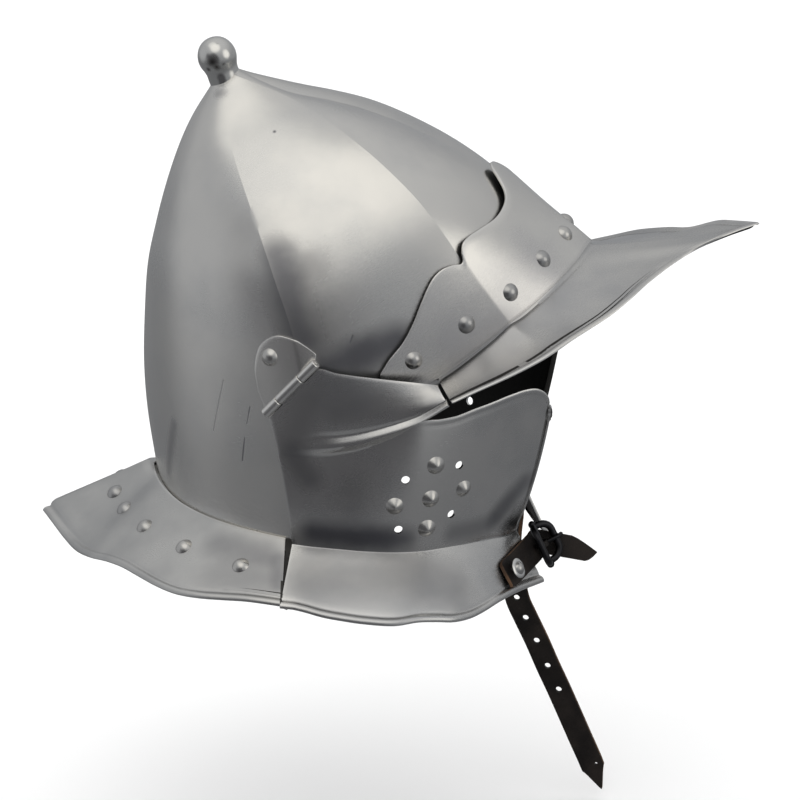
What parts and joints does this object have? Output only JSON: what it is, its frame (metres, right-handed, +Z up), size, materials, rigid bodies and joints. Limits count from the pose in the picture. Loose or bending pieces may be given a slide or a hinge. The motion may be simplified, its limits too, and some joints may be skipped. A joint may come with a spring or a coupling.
{
  "type": "burgonet helmet",
  "caption": "Ridged steel burgonet with a round finial, pointed peak, flared neck guard, hinged pierced cheek pieces and a leather chin strap with a buckle.",
  "frame": {"origin": "inside the skull on its middle plane, level with the upper ends of the cheek hinges, where the helmet sits on a head", "axes": "+X towards the peak, +Y towards the wearer's left, +Z up as the helmet is worn"},
  "size_m": [0.3724, 0.2646, 0.4284],
  "materials": {
    "satin_steel": "satin",
    "rivet_steel": "polished",
    "blackened_iron": "satin",
    "dark_leather": "satin",
    "bright_washer": "polished"
  },
  "bodies": {
    "helmet": {"skull": "satin_steel", "brow_plate": "satin_steel", "peak": "satin_steel", "neck_guard": "satin_steel", "hinge_leaf_right": "satin_steel", "brow_rivet_right_1": "rivet_steel", "brow_rivet_left_1": "rivet_steel", "brow_rivet_right_2": "rivet_steel", "brow_rivet_left_2": "rivet_steel", "brow_rivet_right_3": "rivet_steel", "brow_rivet_left_3": "rivet_steel", "brow_rivet_right_4": "rivet_steel", "brow_rivet_left_4": "rivet_steel", "brow_rivet_right_5": "rivet_steel", "brow_rivet_left_5": "rivet_steel", "neck_rivet_right_1": "rivet_steel", "neck_rivet_left_1": "rivet_steel", "neck_rivet_right_2": "rivet_steel", "neck_rivet_left_2": "rivet_steel", "neck_rivet_right_3": "rivet_steel", "neck_rivet_left_3": "rivet_steel", "neck_rivet_right_4": "rivet_steel", "neck_rivet_left_4": "rivet_steel", "neck_rivet_right_5": "rivet_steel", "neck_rivet_left_5": "rivet_steel", "leaf_rivet_right": "rivet_steel", "hinge_leaf_left": "satin_steel", "leaf_rivet_left": "rivet_steel", "hinge_pin_right": "rivet_steel", "hinge_pin_left": "rivet_steel"},
    "right_cheek": {"cheek_right": "satin_steel", "buckle_tab": "dark_leather", "buckle_underlay": "dark_leather", "tab_washer": "bright_washer", "tab_rivet": "rivet_steel"},
    "left_cheek": {"cheek_left": "satin_steel", "long_strap": "dark_leather", "strap_washer": "bright_washer", "strap_rivet": "rivet_steel"},
    "buckle": {"buckle_frame": "blackened_iron"},
    "prong": {"buckle_prong": "blackened_iron"}
  },
  "joints": [
    {"name": "right_cheek_hinge", "type": "hinge", "parent": "helmet", "child": "right_cheek", "pos_m": [-0.0215, -0.0968, 0.0121], "axis": [-0.6698, 0.0927, -0.7368], "range_deg": [0, 95]},
    {"name": "left_cheek_hinge", "type": "hinge", "parent": "helmet", "child": "left_cheek", "pos_m": [-0.0215, 0.0968, 0.0121], "axis": [0.6698, 0.0927, 0.7368], "range_deg": [0, 95]},
    {"name": "buckle_pivot", "type": "hinge", "parent": "right_cheek", "child": "buckle", "pos_m": [0.10156, -0.03177, -0.09292], "axis": [-0.4051, 0.0779, 0.9109], "range_deg": [0, 5]},
    {"name": "prong_pivot", "type": "hinge", "parent": "buckle", "child": "prong", "pos_m": [0.10156, -0.03177, -0.09292], "axis": [0.4051, -0.0779, -0.9109], "range_deg": [0, 60]}
  ]
}
